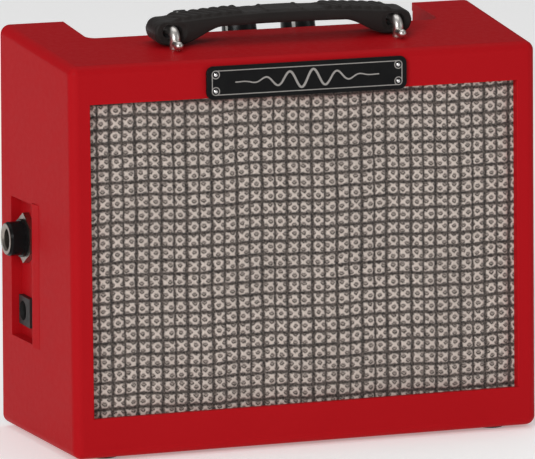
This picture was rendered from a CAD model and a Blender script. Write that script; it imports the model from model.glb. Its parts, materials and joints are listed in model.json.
# Looks of the miniature guitar amplifier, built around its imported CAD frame. Lengths are in metres,
# and values in the comments and in names that end in _MM are in millimetres.
import json
import math

import bmesh
import bpy
import numpy as np
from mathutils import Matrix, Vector


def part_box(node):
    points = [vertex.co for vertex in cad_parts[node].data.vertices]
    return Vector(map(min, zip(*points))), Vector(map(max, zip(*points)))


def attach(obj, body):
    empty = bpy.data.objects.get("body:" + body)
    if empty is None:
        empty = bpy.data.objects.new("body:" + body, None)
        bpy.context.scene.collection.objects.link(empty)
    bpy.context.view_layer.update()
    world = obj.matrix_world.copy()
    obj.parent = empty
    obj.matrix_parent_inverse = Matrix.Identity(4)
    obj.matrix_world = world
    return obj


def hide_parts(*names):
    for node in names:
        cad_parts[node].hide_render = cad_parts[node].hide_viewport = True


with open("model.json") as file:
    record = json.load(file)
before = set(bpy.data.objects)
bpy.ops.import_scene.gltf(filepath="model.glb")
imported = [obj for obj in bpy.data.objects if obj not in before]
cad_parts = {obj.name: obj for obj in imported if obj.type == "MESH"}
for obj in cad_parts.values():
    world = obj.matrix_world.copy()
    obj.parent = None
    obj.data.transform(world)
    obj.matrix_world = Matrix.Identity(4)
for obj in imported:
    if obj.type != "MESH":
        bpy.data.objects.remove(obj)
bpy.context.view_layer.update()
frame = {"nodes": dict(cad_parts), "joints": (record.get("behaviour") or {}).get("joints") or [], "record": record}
nodes = frame["nodes"]
MM = 0.001

# The CAD frame's own driving dimensions, as part.scad has them
FOOT_H = 1.0
Y_FRONT = -33.0
DEPTH = 66
FRONT_H = 128.5
TOP_CLIMB = 5.3
FRONT_LEAN = math.radians(1.55)
HANDLE_Y = -4.5
TOP_NORMAL = Vector(next(j["axis"] for j in frame["joints"] if j["name"] == "handle_lift"))
TOP_RISE = math.atan2(-TOP_NORMAL.y, TOP_NORMAL.z)
TOP_AT_HANDLE = FOOT_H + FRONT_H + TOP_CLIMB * (HANDLE_Y - Y_FRONT) / DEPTH
PANEL_SLOPE = math.radians(14)
PANEL_Y = 19.4
PANEL_Z = FOOT_H + 124.2
KNOBS = ("gain", "tone", "volume")


def on_front(p):
    """Points of the leaning front face: x right, y back from it, z up along it, in millimetres."""
    x, y, z = (np.asarray(v, float) for v in p)
    c, s = math.cos(FRONT_LEAN), math.sin(FRONT_LEAN)
    return x * MM, (Y_FRONT + y * c + z * s) * MM, (FOOT_H - y * s + z * c) * MM


def on_top(p):
    """Points above the sloping top at the handle's centre line, in millimetres."""
    x, y, z = (np.asarray(v, float) for v in p)
    c, s = math.cos(TOP_RISE), math.sin(TOP_RISE)
    return x * MM, (HANDLE_Y + y * c - z * s) * MM, (TOP_AT_HANDLE + y * s + z * c) * MM


def on_panel(p):
    """Points above the sloping control panel, in millimetres."""
    x, y, z = (np.asarray(v, float) for v in p)
    c, s = math.cos(PANEL_SLOPE), math.sin(PANEL_SLOPE)
    return x * MM, (PANEL_Y + y * c + z * s) * MM, (PANEL_Z - y * s + z * c) * MM


# Camera, floor and light ----------------------------------------------------------------------

CAMERA_AT = (-0.7485, -1.9898, 0.4514)
CAMERA_AZIMUTH = math.radians(20.557)
CAMERA_DOWN = math.radians(10.259)
camera_data = bpy.data.cameras.new("camera")
camera_data.sensor_width = 36
camera_data.lens = 439.5
camera_data.clip_start = 0.05
camera_data.clip_end = 60
camera = bpy.data.objects.new("camera", camera_data)
camera.location = CAMERA_AT
camera.rotation_euler = (math.pi / 2 - CAMERA_DOWN, 0, -CAMERA_AZIMUTH)
bpy.context.scene.collection.objects.link(camera)
bpy.context.scene.camera = camera
bpy.context.scene.view_settings.view_transform = "Standard"


def area_light(name, at, target, size, power, colour=(1, 1, 1)):
    data = bpy.data.lights.new(name, "AREA")
    data.shape = "RECTANGLE"
    data.size, data.size_y = size
    data.energy = power
    data.color = colour
    light = bpy.data.objects.new(name, data)
    light.location = at
    light.rotation_euler = (Vector(target) - Vector(at)).to_track_quat("-Z", "Y").to_euler()
    bpy.context.scene.collection.objects.link(light)


MIDDLE = (0, 0, 0.07)
area_light("key_softbox", (-1.75, -1.65, 1.0), MIDDLE, (1.1, 1.1), 33)
area_light("fill_softbox", (1.9, -1.4, 0.9), MIDDLE, (1.2, 1.2), 5)
area_light("top_softbox", (0.1, 0.3, 2.2), MIDDLE, (2.2, 1.6), 13)

world = bpy.data.worlds.new("studio")
world.use_nodes = True
sky = world.node_tree
background = sky.nodes["Background"]
direction = sky.nodes.new("ShaderNodeTexCoord")
parts = sky.nodes.new("ShaderNodeSeparateXYZ")
ramp = sky.nodes.new("ShaderNodeValToRGB")
sky.links.new(direction.outputs["Generated"], parts.inputs[0])
sky.links.new(parts.outputs["Z"], ramp.inputs[0])
sky.links.new(ramp.outputs[0], background.inputs["Color"])
ramp.color_ramp.elements[0].color = (0.07, 0.07, 0.07, 1)
ramp.color_ramp.elements[0].position = 0.0
ramp.color_ramp.elements[1].color = (0.3, 0.3, 0.3, 1)
ramp.color_ramp.elements[1].position = 0.85
bpy.context.scene.world = world

# Material helpers -----------------------------------------------------------------------------


class Paint:
    """A node tree with one Principled shader, and short calls that add nodes to it."""

    def __init__(self, name, **sockets):
        self.material = bpy.data.materials.new(name)
        self.material.use_nodes = True
        self.tree = self.material.node_tree
        self.shader = self.tree.nodes["Principled BSDF"]
        self.place = self.add("ShaderNodeTexCoord").outputs["Object"]
        for socket, value in sockets.items():
            self.shader.inputs[socket.replace("_", " ")].default_value = value

    def add(self, kind, **settings):
        node = self.tree.nodes.new(kind)
        for key, value in settings.items():
            setattr(node, key, value)
        return node

    def feed(self, socket, value):
        if isinstance(value, bpy.types.NodeSocket):
            self.tree.links.new(value, socket)
        else:
            socket.default_value = value

    def math(self, operation, *values):
        node = self.add("ShaderNodeMath", operation=operation)
        for socket, value in zip(node.inputs, values):
            self.feed(socket, value)
        return node.outputs[0]

    def step(self, value, low, high, start=0.0, end=1.0):
        """start below low, end above high, and smooth between them."""
        node = self.add("ShaderNodeMapRange", interpolation_type="SMOOTHSTEP")
        for socket, v in zip(node.inputs, (value, low, high, start, end)):
            self.feed(socket, v)
        return node.outputs[0]

    def noise(self, scale, detail=2.0, roughness=0.5, at=None, stretch=None):
        place = at or self.place
        if stretch:
            mapping = self.add("ShaderNodeMapping")
            self.feed(mapping.inputs["Vector"], place)
            mapping.inputs["Scale"].default_value = stretch
            place = mapping.outputs[0]
        node = self.add("ShaderNodeTexNoise")
        self.feed(node.inputs["Vector"], place)
        node.inputs["Scale"].default_value = scale
        node.inputs["Detail"].default_value = detail
        node.inputs["Roughness"].default_value = roughness
        return node.outputs[0]

    def cells(self, scale, feature="F1"):
        node = self.add("ShaderNodeTexVoronoi", feature=feature)
        self.feed(node.inputs["Vector"], self.place)
        node.inputs["Scale"].default_value = scale
        return node.outputs["Distance"]

    def mix(self, factor, a, b):
        node = self.add("ShaderNodeMix", data_type="RGBA")
        for socket, value in ((node.inputs[0], factor), (node.inputs[6], a), (node.inputs[7], b)):
            self.feed(socket, value)
        return node.outputs[2]

    def colour(self, factor, a, b):
        self.feed(self.shader.inputs["Base Color"], self.mix(factor, (*a, 1), (*b, 1)))

    def rough(self, factor, low, high):
        self.feed(self.shader.inputs["Roughness"], self.step(factor, 0.25, 0.75, low, high))

    def bump(self, height, depth, strength=1.0, below=None):
        """height from 0 to 1 stands for depth metres."""
        node = self.add("ShaderNodeBump")
        node.inputs["Strength"].default_value = strength
        node.inputs["Distance"].default_value = depth
        self.feed(node.inputs["Height"], height)
        if below:
            self.feed(node.inputs["Normal"], below)
        self.feed(self.shader.inputs["Normal"], node.outputs[0])
        return node.outputs[0]


def moulded(name, light, dark, rough, grain, depth, specular=0.5):
    """Moulded plastic: a fine spark-eroded grain, slight flow clouds and uneven gloss."""
    paint = Paint(name)
    paint.shader.inputs["Specular IOR Level"].default_value = specular
    paint.colour(paint.noise(28, 3), light, dark)
    paint.rough(paint.noise(grain / 5, 3), rough[0], rough[1])
    below = paint.bump(paint.noise(40, 1), 0.00006, 0.5)
    paint.bump(paint.noise(grain, 2, 0.6), depth, 0.6, below)
    return paint.material


def polished(name, light, dark, rough, scratch=900, metal=1.0):
    """Plated or polished metal with faint smudges and hairline wear."""
    paint = Paint(name, Metallic=metal)
    paint.colour(paint.noise(160, 3), light, dark)
    paint.rough(paint.noise(260, 4, 0.6), rough[0], rough[1])
    paint.bump(paint.noise(scratch, 2, 0.5, stretch=(1, 1, 6)), 0.00002, 0.35)
    return paint.material


def brushed(name, light, dark, rough, stretch):
    """Satin metal with a brushed direction."""
    paint = Paint(name, Metallic=1.0)
    lines = paint.noise(700, 3, 0.6, stretch=stretch)
    paint.colour(lines, light, dark)
    paint.rough(lines, rough[0], rough[1])
    paint.bump(lines, 0.00002, 0.4)
    return paint.material


def fibres(name, light, dark, scale):
    """Pressed paper or board: short fibres, and no gloss."""
    paint = Paint(name)
    paint.colour(paint.noise(scale, 4, 0.7), light, dark)
    paint.rough(paint.noise(scale / 3, 2), 0.75, 0.9)
    paint.bump(paint.noise(scale, 4, 0.7, stretch=(1, 3, 1)), 0.00008, 0.8)
    return paint.material


# Materials of the record's slots ----------------------------------------------------------------

CASE_LIGHT = (0.455, 0.0085, 0.0125)
CASE_DARK = (0.425, 0.0065, 0.0105)


def lacquer_black(name):
    """Deep glossy black with faint wiping marks."""
    paint = Paint(name)
    paint.shader.inputs["Specular IOR Level"].default_value = 0.07
    paint.colour(paint.noise(300, 2), (0.006, 0.006, 0.0065), (0.011, 0.011, 0.011))
    paint.rough(paint.noise(120, 4, 0.65), 0.16, 0.28)
    paint.bump(paint.noise(90, 1), 0.00003, 0.35)
    return paint.material


def handle_rubber():
    """Moulded black rubber: a soft sheen, a fine leather grain, and dust in the hollows."""
    paint = Paint("black_rubber")
    paint.shader.inputs["Specular IOR Level"].default_value = 0.16
    paint.shader.inputs["Sheen Weight"].default_value = 0.04
    paint.shader.inputs["Sheen Roughness"].default_value = 0.5
    paint.colour(paint.noise(120, 4, 0.65), (0.0145, 0.0125, 0.0118), (0.024, 0.0205, 0.019))
    paint.rough(paint.noise(420, 3), 0.42, 0.62)
    grain = paint.bump(paint.cells(1500), 0.00009, 0.35)
    paint.bump(paint.noise(260, 3, 0.6), 0.00012, 0.35, grain)
    return paint.material


def two_tone(name, axis, at, first, second, rough):
    """A wrapped sleeve whose colour changes across one plane."""
    paint = Paint(name)
    split = paint.add("ShaderNodeSeparateXYZ")
    paint.feed(split.inputs[0], paint.place)
    side = paint.step(split.outputs[axis], at - 0.0001, at + 0.0001)
    paint.colour(side, first, second)
    paint.rough(paint.noise(400, 3), rough[0], rough[1])
    paint.bump(paint.noise(700, 2), 0.00003, 0.4)
    return paint.material


# The cloth's squares and the lattice woven into each of them
PITCH = 4.354
GROOVE = 0.08
GROOVE_WIDE = 0.12
GROOVE_NARROW = GROOVE * 0.62
GROOVE_START = -0.03
GROOVE_EDGE = 0.12
LATTICE_U = 1.315
LATTICE_V = 1.565


def grille_weave():
    """Pale yarn squares on a dark ground. The weave attribute counts squares along x and z."""
    paint = Paint("grille_weave")
    attribute = paint.add("ShaderNodeAttribute", attribute_name="weave")
    uv = paint.add("ShaderNodeSeparateXYZ")
    paint.feed(uv.inputs[0], attribute.outputs["Vector"])
    fray = paint.noise(950, 3, 0.7)
    fray = paint.math("MULTIPLY", paint.math("SUBTRACT", fray, 0.5), 0.26)
    u = paint.math("ADD", uv.outputs["X"], fray)
    v = paint.math("ADD", uv.outputs["Y"], paint.math("MULTIPLY", fray, -1.0))

    def groove(value, odd_is_wide):
        whole = paint.math("ROUND", value)
        off = paint.math("ABSOLUTE", paint.math("SUBTRACT", value, whole))
        half = GROOVE
        if odd_is_wide:
            odd = paint.math("ABSOLUTE", paint.math("MODULO", whole, 2.0))
            half = paint.math("MULTIPLY_ADD", odd, GROOVE_WIDE - GROOVE, GROOVE_NARROW)
        inner = paint.math("SUBTRACT", off, half)
        return paint.step(inner, GROOVE_START, GROOVE_EDGE)

    square = paint.math("MULTIPLY", groove(u, True), groove(v, False))
    ku = paint.math("MULTIPLY", u, LATTICE_U)
    kv = paint.math("MULTIPLY", v, LATTICE_V)
    a = paint.math("SUBTRACT", paint.math("FRACT", paint.math("ADD", ku, kv)), 0.5)
    b = paint.math("SUBTRACT", paint.math("FRACT", paint.math("SUBTRACT", ku, kv)), 0.5)
    ex = paint.math("MULTIPLY", paint.math("ADD", a, b), PITCH / 2 / LATTICE_U)
    ey = paint.math("MULTIPLY", paint.math("SUBTRACT", a, b), PITCH / 2 / LATTICE_V)
    round_off = paint.math("SQRT", paint.math(
        "ADD", paint.math("MULTIPLY", ex, ex), paint.math("MULTIPLY", ey, ey)))
    eye = paint.step(round_off, 0.7, 1.02, 1.0, 0.0)
    ax = paint.math("ABSOLUTE", ex)
    # a dark stroke like a V in the lower half of each eye, and a short bar in the upper half
    vee = paint.math("ABSOLUTE", paint.math(
        "SUBTRACT", ey, paint.math("MULTIPLY_ADD", ax, 0.75, -0.56)))
    vee = paint.step(vee, 0.12, 0.27, 1.0, 0.0)
    bar = paint.math("ABSOLUTE", paint.math("SUBTRACT", ey, 0.36))
    bar = paint.math("MULTIPLY", paint.step(bar, 0.08, 0.24, 0.75, 0.0),
                     paint.step(ax, 0.3, 0.6, 1.0, 0.0))
    marks = paint.math("MULTIPLY", paint.math("MAXIMUM", vee, bar), eye)
    thread = paint.noise(5200, 2, 0.5)
    pale = paint.mix(thread, (0.44, 0.365, 0.32, 1), (0.86, 0.755, 0.68, 1))
    mid = paint.mix(thread, (0.13, 0.103, 0.087, 1), (0.29, 0.24, 0.208, 1))
    patches = paint.step(paint.noise(1500, 3, 0.65), 0.38, 0.64)
    dark = paint.mix(patches, (0.016, 0.0115, 0.0095, 1), (0.12, 0.096, 0.082, 1))
    face = paint.mix(paint.math("MULTIPLY", eye, 0.72), pale, mid)
    face = paint.mix(paint.math("MULTIPLY", marks, 0.95), face, dark)
    soil = paint.mix(paint.step(paint.noise(34, 3), 0.35, 0.7, 0.0, 0.16), face, mid)
    paint.feed(paint.shader.inputs["Base Color"], paint.mix(square, dark, soil))
    paint.shader.inputs["Roughness"].default_value = 0.85
    paint.shader.inputs["Specular IOR Level"].default_value = 0.25
    paint.shader.inputs["Sheen Weight"].default_value = 0.25
    paint.shader.inputs["Sheen Roughness"].default_value = 0.6
    relief = paint.math("MULTIPLY", square, paint.math("MULTIPLY_ADD", marks, -0.6, 1.0))
    below = paint.bump(relief, 0.00025, 0.6)
    paint.bump(paint.noise(3600, 3, 0.6), 0.0001, 0.8, below)
    return paint.material


slot_of = {s["node"]: s["material_slot"] for s in frame["record"]["subparts"]}
# the DC socket's outer face, where its hole begins
SOCKET_FACE_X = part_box("dc_jack")[0][0]
materials = {
    "case_red": moulded("case_red", CASE_LIGHT, CASE_DARK, (0.38, 0.47), 2600, 0.00007, 0.03),
    "black_plastic": moulded("black_plastic", (0.012, 0.012, 0.0125), (0.019, 0.019, 0.019),
                             (0.42, 0.56), 2200, 0.0001, 0.25),
    "black_gloss": lacquer_black("black_gloss"),
    "knob_black": moulded("knob_black", (0.009, 0.009, 0.0095), (0.014, 0.014, 0.014),
                          (0.24, 0.36), 1600, 0.00003, 0.3),
    "black_rubber": handle_rubber(),
    "grille_weave": grille_weave(),
    "board": fibres("board", (0.01, 0.009, 0.0085), (0.022, 0.019, 0.017), 900),
    "chrome": polished("chrome", (0.72, 0.71, 0.7), (0.62, 0.61, 0.6), (0.08, 0.18)),
    "nickel": brushed("nickel", (0.66, 0.65, 0.63), (0.5, 0.49, 0.47), (0.22, 0.36), (1, 1, 8)),
    "steel_dark": brushed("steel_dark", (0.1, 0.1, 0.105), (0.16, 0.16, 0.165), (0.35, 0.5),
                          (1, 6, 1)),
    "silver_print": polished("silver_print", (0.42, 0.39, 0.37), (0.33, 0.31, 0.29), (0.3, 0.42),
                             metal=0.35),
    "white_inlay": moulded("white_inlay", (0.86, 0.86, 0.83), (0.78, 0.78, 0.74), (0.35, 0.5),
                           2400, 0.00004),
    "paper_cone": fibres("paper_cone", (0.012, 0.012, 0.012), (0.03, 0.029, 0.028), 1200),
    "spider_cloth": fibres("spider_cloth", (0.42, 0.25, 0.08), (0.28, 0.16, 0.05), 2600),
    "copper": brushed("copper", (0.72, 0.33, 0.14), (0.5, 0.2, 0.08), (0.2, 0.34), (1, 14, 1)),
    "ferrite": moulded("ferrite", (0.03, 0.03, 0.032), (0.05, 0.05, 0.052), (0.6, 0.75),
                       1300, 0.00012),
    "circuit_green": two_tone("circuit_green", 2, 0.2, (0.012, 0.12, 0.04), (0.02, 0.2, 0.07),
                              (0.3, 0.42)),
    "cap_sleeve": two_tone("cap_sleeve", 1, 0.0215, (0.02, 0.035, 0.12), (0.55, 0.55, 0.5),
                           (0.2, 0.3)),
    "battery_case": two_tone("battery_case", 0, 0.052, (0.02, 0.035, 0.075), (0.62, 0.38, 0.16),
                             (0.2, 0.32)),
    "red_lens": moulded("red_lens", (0.55, 0.01, 0.01), (0.45, 0.008, 0.008), (0.05, 0.12),
                        900, 0.00001),
    "wire_sheath": moulded("wire_sheath", (0.3, 0.012, 0.012), (0.22, 0.01, 0.01), (0.3, 0.42),
                           1500, 0.00003),
    "bail_plating": polished("bail_plating", (0.74, 0.71, 0.68), (0.62, 0.59, 0.56), (0.3, 0.42)),
    "nut_plating": brushed("nut_plating", (0.4, 0.355, 0.315), (0.3, 0.265, 0.235), (0.26, 0.4),
                           (1, 1, 5)),
    "socket_black": two_tone("socket_black", 0, SOCKET_FACE_X + 0.0012, (0.014, 0.013, 0.013),
                             (0.0012, 0.001, 0.001), (0.5, 0.65)),
}
# nodes whose look differs from the rest of their slot
OWN_MATERIAL = {
    "handle_bails": "bail_plating",
    "input_jack_nut": "nut_plating",
    "input_jack_ring": "nut_plating",
    "dc_jack": "socket_black",
    **{f"{knob}_knob": "knob_black" for knob in KNOBS},
}
for node, part in nodes.items():
    material = materials[OWN_MATERIAL.get(node, slot_of[node])]
    part.data.materials.clear()
    part.data.materials.append(material)

# Pieces made from the frame's own shapes, with their moulded edges rounded ---------------------


def new_piece(name, mesh, material, body, node=None):
    piece = bpy.data.objects.new(name, mesh)
    bpy.context.scene.collection.objects.link(piece)
    mesh.materials.clear()
    mesh.materials.append(materials[material])
    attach(piece, body)
    if node:
        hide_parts(node)
    return piece


def prism(bm, near, far):
    """A closed bar between two loops of points that match one to one."""
    near, far = ([bm.verts.new([float(c) for c in point]) for point in loop] for loop in (near, far))
    bm.faces.new(near)
    bm.faces.new(far[::-1])
    for k in range(len(near)):
        after = (k + 1) % len(near)
        bm.faces.new((near[k], far[k], far[after], near[after]))


def smooth(mesh, angle):
    mesh.shade_smooth()
    mesh.set_sharp_from_angle(angle=math.radians(angle))


def rounded(node, name, body, material, round_mm, angle=40, min_edge_mm=0.0, segments=3):
    """The node's shape with every edge sharper than angle rounded, when it is long enough."""
    bm = bmesh.new()
    bm.from_mesh(nodes[node].data)
    bmesh.ops.remove_doubles(bm, verts=bm.verts, dist=1e-6)
    bmesh.ops.dissolve_limit(bm, angle_limit=math.radians(0.6), verts=bm.verts, edges=bm.edges,
                             delimit={"NORMAL"})
    sharp = [e for e in bm.edges if len(e.link_faces) == 2
             and e.calc_face_angle(0) > math.radians(angle) and e.calc_length() > min_edge_mm * MM]
    bmesh.ops.bevel(bm, geom=sharp, offset=round_mm * MM, segments=segments, profile=0.5,
                    affect="EDGES", clamp_overlap=True, miter_outer="ARC")
    mesh = bpy.data.meshes.new(name)
    bm.to_mesh(mesh)
    bm.free()
    smooth(mesh, 34)
    piece = new_piece(name, mesh, material, body, node)
    even = piece.modifiers.new("even_normals", "WEIGHTED_NORMAL")
    even.keep_sharp = True
    return piece


rounded("cabinet_shell", "case_body", "cabinet", "case_red", 0.45, min_edge_mm=3)
rounded("battery_door", "battery_hatch_cover", "battery_hatch", "black_plastic", 0.25, min_edge_mm=2)
rounded("nameplate", "badge_plate", "cabinet", "black_gloss", 0.3, min_edge_mm=0.14)
rounded("power_slider", "power_button", "power_switch", "black_plastic", 0.3)
rounded("rubber_feet", "stand_feet", "cabinet", "black_rubber", 0.15)
for knob in KNOBS:
    rounded(f"{knob}_knob", f"{knob}_dial", f"{knob}_control", "knob_black", 0.3, angle=30)

# Grille cloth -----------------------------------------------------------------------------------

CLOTH_W, CLOTH_H = 152.4, 105.7
CLOTH_LOW = 11.7
CLOTH_FACE = 3.3
CELLS_PER_SQUARE = 10
# the counts near x = 0 and z = 0, which set where the grooves fall
COUNT_U, COUNT_V = 40.3, 40.62
GROOVE_DEPTH = 0.42


def grid_faces(nu, nv):
    """Quads of a grid of nu by nv points."""
    i = np.arange((nu - 1) * (nv - 1))
    corner = i // (nv - 1) * nv + i % (nv - 1)
    return np.stack([corner, corner + nv, corner + nv + 1, corner + 1], axis=1)


def blend01(x, low, high):
    t = np.clip((x - low) / (high - low), 0, 1)
    return t * t * (3 - 2 * t)


def weave_coordinates(x, z):
    """Squares counted along x and z, with the rows and columns a little uneven, as woven."""
    s, t = x / PITCH, z / PITCH
    u = s + 0.03 * np.sin(0.55 * t + 0.7) + 0.02 * np.sin(1.9 * t + 0.4 * s)
    v = t + 0.06 * np.sin(0.62 * s + 0.4) + 0.025 * np.sin(1.7 * s + 0.3 * t) + 0.012 * s
    return u + COUNT_U, v + COUNT_V


def weave_height(u, v):
    """Height of the yarn in millimetres, from 0 on a square's face down into the grooves."""
    whole = np.round(u)
    half = np.where(whole % 2 == 1, GROOVE_WIDE, GROOVE_NARROW)
    across = blend01(np.abs(u - whole) - half, GROOVE_START, GROOVE_EDGE)
    along = blend01(np.abs(v - np.round(v)) - GROOVE, GROOVE_START, GROOVE_EDGE)
    p, q = u * LATTICE_U + v * LATTICE_V, u * LATTICE_U - v * LATTICE_V
    a, b = p % 1 - 0.5, q % 1 - 0.5
    r = np.hypot((a + b) * PITCH / 2 / LATTICE_U, (a - b) * PITCH / 2 / LATTICE_V)
    eye = 1 - blend01(r, 0.5, 0.95)
    pillow = 0.12 * (np.cos(2 * math.pi * u) + np.cos(2 * math.pi * v))
    return GROOVE_DEPTH * (across * along - 1) - 0.17 * eye * across * along - 0.3 * pillow


def make_grille_cloth():
    nu = int(CLOTH_W / PITCH * CELLS_PER_SQUARE) + 1
    nv = int(CLOTH_H / PITCH * CELLS_PER_SQUARE) + 1
    x = np.repeat(np.linspace(-CLOTH_W / 2, CLOTH_W / 2, nu), nv)
    z = np.tile(np.linspace(CLOTH_LOW, CLOTH_LOW + CLOTH_H, nv), nu)
    u, v = weave_coordinates(x, z)
    height = weave_height(u, v)
    # the cloth is drawn a little deeper where the baffle clamps its edge
    y = CLOTH_FACE + 0.08 - height
    mesh = bpy.data.meshes.new("grille_sheet")
    points = np.stack(on_front((x, y, z)), axis=1)
    mesh.from_pydata(points.tolist(), [], grid_faces(nu, nv).tolist())
    weave = mesh.attributes.new("weave", "FLOAT_VECTOR", "POINT")
    weave.data.foreach_set("vector", np.stack([u, v, 0 * u], axis=1).ravel().astype(np.float32))
    mesh.shade_smooth()
    cloth = new_piece("grille_sheet", mesh, "grille_weave", "cabinet", "grille_cloth")


make_grille_cloth()

# Handle -----------------------------------------------------------------------------------------

HALF_LEN, END_R, END_POWER = 44.9, 5.0, 2.6
PAD_X = HALF_LEN - END_R
END_MID, FOOT = 4.5, 0.3
CROWN, UNDER = 10.1, 5.9
RAMP_IN, RAMP_OUT = 21.0, 36.0
HALF_W = 5.5
BAIL_X, SLOT_Z, SLOT_W, SLOT_H = 39.0, 4.75, 6.8, 4.4
RIDGE_PITCH, RIDGE_SLANT, RIDGE_H = 3.5, 0.73, 0.85
RIDGES_FROM, RIDGES_TO = 14.5, 38.0
CUTTER_REACH = 9


def end_round(t):
    """Falls from 1 to 0 over a rounded end, fuller than a circle."""
    return (1 - t ** END_POWER) ** (1 / END_POWER)


def handle_top(x):
    x = np.abs(x)
    crown = CROWN - 0.00125 * np.minimum(x, PAD_X) ** 2
    t = np.clip((x - PAD_X) / END_R, 0, 1)
    return np.where(x < PAD_X, crown, END_MID + (crown - END_MID) * end_round(t))


def handle_under(x):
    x = np.abs(x)
    t = np.clip((x - RAMP_IN) / (RAMP_OUT - RAMP_IN), 0, 1)
    flat = UNDER - 0.0006 * x * x
    ramp = FOOT + (UNDER - 0.26 - FOOT) * (1 - t * t * (3 - 2 * t))
    low = np.where(x < RAMP_IN, flat, ramp)
    t = np.clip((x - PAD_X) / END_R, 0, 1)
    return np.where(x < PAD_X, low, END_MID - (END_MID - FOOT) * end_round(t))


def top_relief(x, y):
    """Raised pattern of the grip: slanting rope ridges on both halves and a plain middle pad."""
    ax = np.abs(x)
    inside = blend01(HALF_W - np.abs(y), 0.55, 1.5)
    zone = blend01(ax, RIDGES_FROM - 1.2, RIDGES_FROM + 0.8)
    zone = zone * (1 - blend01(ax, RIDGES_TO - 2, RIDGES_TO + 1))
    wave = np.abs(2 * (((x + RIDGE_SLANT * y) / RIDGE_PITCH) % 1) - 1)
    ridge = RIDGE_H * (1 - wave ** 2.4) * zone
    pad = 0.16 * (1 - blend01(ax, 5.4, 6.0))
    rib = 0.42 * (1 - blend01(np.abs(ax - 6.1), 0.25, 0.8))
    hollow = -0.12 * blend01(ax, 6.6, 8) * (1 - blend01(ax, 12, 13.5))
    off_seam = np.abs(np.abs(y) - 4.85)
    seam = 0.22 * (1 - blend01(off_seam, 0.1, 0.5)) * (1 - blend01(ax, 38, 42))
    return (ridge + pad + rib + hollow) * inside - seam


def handle_section(x):
    """The loop round the handle at x, as y and z, before the relief."""
    high, low = float(handle_top(x)), float(handle_under(x))
    t = min(max((abs(x) - PAD_X) / END_R, 0), 1)
    w = HALF_W * (1 - 0.16 * t ** 3)
    r_top, r_low = min(1.3, 0.45 * (high - low)), min(0.9, 0.45 * (high - low))
    span = high - r_top - low - r_low
    turn = np.linspace(0, math.pi / 2, 6)[1:]
    climb = np.linspace(0, 1, 13)[1:]
    # the sides bulge a little between their corners
    bulge = 0.22 * np.sin(math.pi * climb) * min(1, span / 4)
    across_top = np.linspace(-1, 1, 27) * (w - r_top)
    across_low = np.linspace(1, -1, 14)[1:] * (w - r_low)
    runs = (
        (across_top, 0 * across_top + high),
        (w - r_top + r_top * np.sin(turn), high - r_top + r_top * np.cos(turn)),
        (w + bulge, high - r_top - span * climb),
        (w - r_low + r_low * np.cos(turn), low + r_low - r_low * np.sin(turn)),
        (across_low, 0 * across_low + low),
        (r_low - w - r_low * np.sin(turn), low + r_low - r_low * np.cos(turn)),
        (-w - bulge, low + r_low + span * climb),
        (r_top - w - r_top * np.cos(turn[:-1]), high - r_top + r_top * np.sin(turn[:-1])),
    )
    return np.concatenate([y for y, z in runs]), np.concatenate([z for y, z in runs])


def make_handle():
    body_x = np.linspace(-PAD_X, PAD_X, 321)
    turn = np.linspace(0, math.pi / 2, 15)[1:-1]
    end_x = PAD_X + END_R * np.sin(turn)
    xs = np.concatenate([[0.01 - HALF_LEN], -end_x[::-1], body_x, end_x, [HALF_LEN - 0.01]])
    sections = [handle_section(x) for x in xs]
    m = len(sections[0][0])
    x = np.repeat(xs, m)
    y = np.concatenate([section[0] for section in sections])
    z = np.concatenate([section[1] for section in sections])
    high = handle_top(x)
    near_top = blend01(z, high - 1.4, high - 0.2)
    z = z + top_relief(x, y) * near_top
    # a dished rim round each oval hole, on both sides
    off = np.hypot(np.maximum(np.abs(np.abs(x) - BAIL_X) - (SLOT_W - SLOT_H) / 2, 0), z - SLOT_Z)
    dish = 0.75 * (1 - blend01(off, SLOT_H / 2 + 0.2, SLOT_H / 2 + 1.9)) * (np.abs(y) > HALF_W - 1.5)
    y = y - np.sign(y) * dish
    n = len(xs)
    j = np.arange(m)
    faces = []
    for i in range(n - 1):
        a = i * m
        faces += [(a + k, a + (k + 1) % m, a + m + (k + 1) % m, a + m + k) for k in range(m)]
    faces.append(tuple(j.tolist()))
    faces.append(tuple(((n - 1) * m + j)[::-1].tolist()))
    mesh = bpy.data.meshes.new("strap_handle")
    mesh.from_pydata(np.stack(on_top((x, y, z)), axis=1).tolist(), [], faces)
    bm = bmesh.new()
    bm.from_mesh(mesh)
    bmesh.ops.recalc_face_normals(bm, faces=bm.faces)
    bm.to_mesh(mesh)
    bm.free()
    handle = new_piece("strap_handle", mesh, "black_rubber", "handle", "handle")
    cut_slots(handle)


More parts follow.
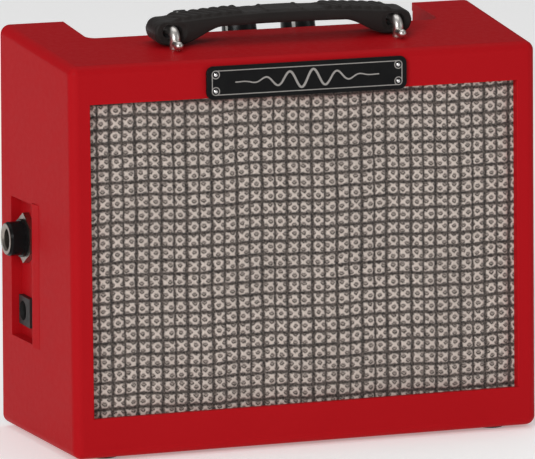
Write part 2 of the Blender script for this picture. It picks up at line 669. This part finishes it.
def cut_slots(handle):
    """Drills the two oval holes with a slot-shaped cutter."""
    bm = bmesh.new()
    for side in (-1, 1):
        outline = []
        for a in range(0, 360, 9):
            lean = math.radians(a)
            shift = (SLOT_W - SLOT_H) / 2 * (1 if math.cos(lean) > 0 else -1)
            outline.append((side * BAIL_X + shift + SLOT_H / 2 * math.cos(lean),
                            SLOT_Z + SLOT_H / 2 * math.sin(lean)))
        prism(bm, *([on_top((x, y, z)) for x, z in outline] for y in (-CUTTER_REACH, CUTTER_REACH)))
    bmesh.ops.recalc_face_normals(bm, faces=bm.faces)
    mesh = bpy.data.meshes.new("slot_cutter")
    bm.to_mesh(mesh)
    bm.free()
    cutter = bpy.data.objects.new("slot_cutter", mesh)
    bpy.context.scene.collection.objects.link(cutter)
    cut = handle.modifiers.new("slots", "BOOLEAN")
    cut.operation = "DIFFERENCE"
    cut.solver = "EXACT"
    cut.object = cutter
    bpy.context.view_layer.update()
    shape = bpy.data.meshes.new_from_object(
        handle.evaluated_get(bpy.context.evaluated_depsgraph_get()))
    handle.modifiers.clear()
    handle.data = shape
    bpy.data.objects.remove(cutter)
    smooth(shape, 45)


make_handle()

# Printed scales round the knobs -----------------------------------------------------------------

KNOB_X = (-25.35, -4.5, 16.35)
TICKS, TICK_FIRST, TICK_STEP = 11, -150, 30
TICK_FROM, TICK_TO, TICK_TO_LONG = 7.1, 8.3, 9.0
TICK_HALF_W = 0.14
TICK_LAYERS = (0.01, 0.06)


def make_dial_ticks():
    """Eleven ticks round each knob; the two ends and the middle one are longer."""
    bm = bmesh.new()
    for knob_x in KNOB_X:
        for i in range(TICKS):
            a = math.radians(TICK_FIRST + TICK_STEP * i)
            out = Vector((math.sin(a), math.cos(a)))
            side = Vector((out.y, -out.x)) * TICK_HALF_W
            near, far = out * TICK_FROM, out * (TICK_TO_LONG if i % 5 == 0 else TICK_TO)
            outline = (near - side, far - side, far + side, near + side)
            prism(bm, *([on_panel((knob_x + p.x, p.y, z)) for p in outline] for z in TICK_LAYERS))
    bmesh.ops.recalc_face_normals(bm, faces=bm.faces)
    mesh = bpy.data.meshes.new("dial_ticks")
    bm.to_mesh(mesh)
    bm.free()
    new_piece("dial_ticks", mesh, "silver_print", "cabinet")


make_dial_ticks()

# Floor ------------------------------------------------------------------------------------------

floor_mesh = bpy.data.meshes.new("floor")
REACH = 9.0
floor_mesh.from_pydata([(-REACH, -REACH, 0), (REACH, -REACH, 0), (REACH, REACH, 0), (-REACH, REACH, 0)],
                       [], [(0, 1, 2, 3)])
floor = bpy.data.objects.new("floor", floor_mesh)
bpy.context.scene.collection.objects.link(floor)
floor_paint = Paint("floor", Roughness=0.9)
floor_paint.shader.inputs["Specular IOR Level"].default_value = 0.1
floor_paint.shader.inputs["Emission Color"].default_value = (1, 1, 1, 1)
floor_paint.shader.inputs["Emission Strength"].default_value = 0.27
floor_paint.colour(floor_paint.noise(3, 2), (0.95, 0.95, 0.95), (0.93, 0.93, 0.93))
floor_mesh.materials.append(floor_paint.material)
